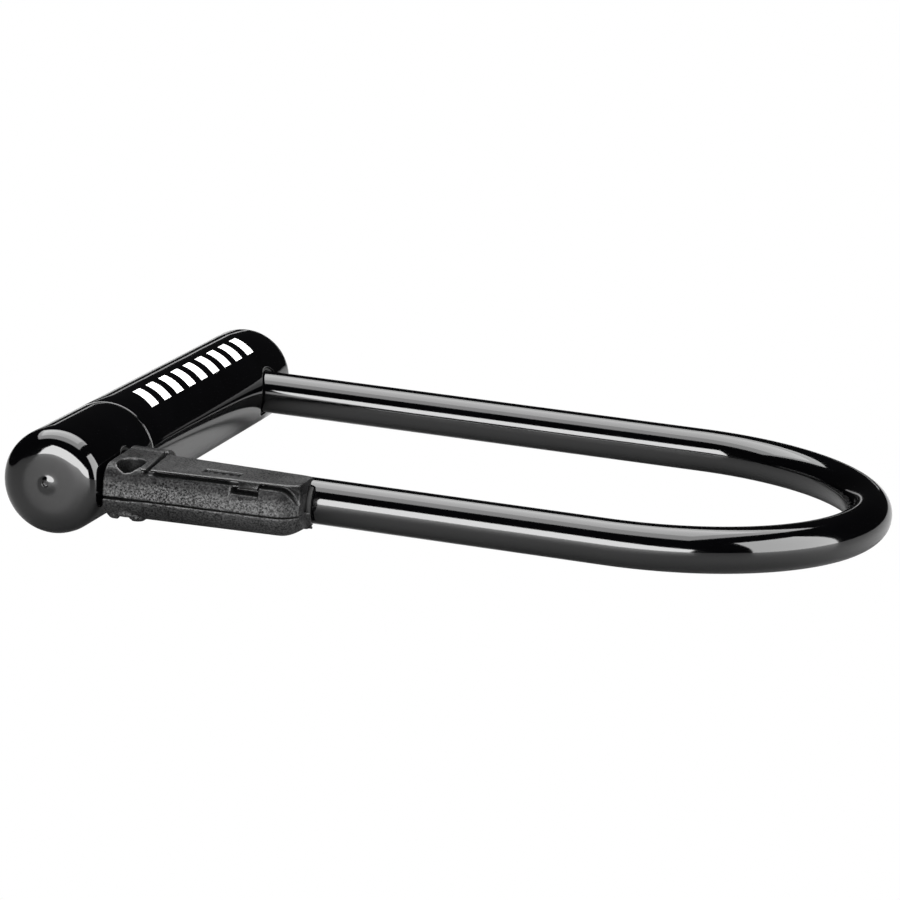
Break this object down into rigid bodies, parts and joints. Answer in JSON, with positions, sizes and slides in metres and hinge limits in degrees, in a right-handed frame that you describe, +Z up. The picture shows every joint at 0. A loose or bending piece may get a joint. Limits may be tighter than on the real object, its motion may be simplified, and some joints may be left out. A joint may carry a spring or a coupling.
{
  "type": "u lock",
  "caption": "Bicycle u lock with a coated bent shackle, a round crossbar holding the key cylinder and sliding bolts, and a carrier adapter clamped on one leg.",
  "frame": {"origin": "middle of the bounding box with the lock lying on its side, shackle fully home", "axes": "+X runs along the shackle legs from the crossbar to the bend, +Y runs along the crossbar from the carrier side to the plain side, +Z is up with the lock lying on its side"},
  "size_m": [0.275, 0.1972, 0.035],
  "materials": {
    "black_vinyl": "gloss vinyl coating",
    "satin_black_plastic": "fine textured moulding",
    "black_rubber": "matte",
    "steel": "machined, plated",
    "dark_steel": "black oxide",
    "brass": "turned",
    "zinc": "die cast"
  },
  "bodies": {
    "crossbar": {"crossbar_tube": "steel", "main_cover": "black_vinyl", "near_end_cover": "black_vinyl", "near_end_plug": "steel", "far_end_plug": "steel", "near_leg_bush": "black_rubber", "far_leg_bush": "black_rubber", "bolt_housing": "zinc", "cylinder_housing": "brass", "housing_pin_lower": "dark_steel", "housing_pin_upper": "dark_steel", "keyway_bezel": "satin_black_plastic"},
    "shackle": {"shackle_bar": "steel", "shackle_coating": "black_vinyl", "carrier_upper_shell": "satin_black_plastic", "carrier_lower_shell": "satin_black_plastic", "carrier_liner": "black_rubber", "carrier_screw_1": "dark_steel", "carrier_screw_2": "dark_steel", "carrier_screw_3": "dark_steel", "carrier_nut_1": "dark_steel", "carrier_nut_2": "dark_steel", "carrier_nut_3": "dark_steel"},
    "lock_cylinder": {"lock_core": "brass", "core_cam": "steel", "locking_disc_1": "brass", "locking_disc_2": "brass", "locking_disc_3": "brass", "locking_disc_4": "brass", "locking_disc_5": "brass", "locking_disc_6": "brass", "sidebar": "steel"},
    "near_bolt": {"near_deadbolt": "steel"},
    "far_bolt": {"far_deadbolt": "steel"},
    "dust_shutter": {"dust_cover": "satin_black_plastic"}
  },
  "joints": [
    {"name": "shackle_slide", "type": "slide", "parent": "crossbar", "child": "shackle", "axis": [1, 0, 0], "range_m": [0, 0.04]},
    {"name": "core_turn", "type": "hinge", "parent": "crossbar", "child": "lock_cylinder", "pos_m": [-0.12, 0, 0], "axis": [-1, 0, 0], "range_deg": [0, 90]},
    {"name": "near_bolt_slide", "type": "slide", "parent": "crossbar", "child": "near_bolt", "axis": [0, -1, 0], "range_m": [0, 0.00454]},
    {"name": "far_bolt_slide", "type": "slide", "parent": "crossbar", "child": "far_bolt", "axis": [0, 1, 0], "range_m": [0, 0.00454]},
    {"name": "dust_cover_turn", "type": "hinge", "parent": "crossbar", "child": "dust_shutter", "pos_m": [-0.12, 0, 0], "axis": [-1, 0, 0], "range_deg": [0, 90]}
  ],
  "couplings": [
    {"joint": "near_bolt_slide", "follows": "core_turn", "m_per_rad": 0.002881},
    {"joint": "far_bolt_slide", "follows": "core_turn", "m_per_rad": 0.002881}
  ]
}
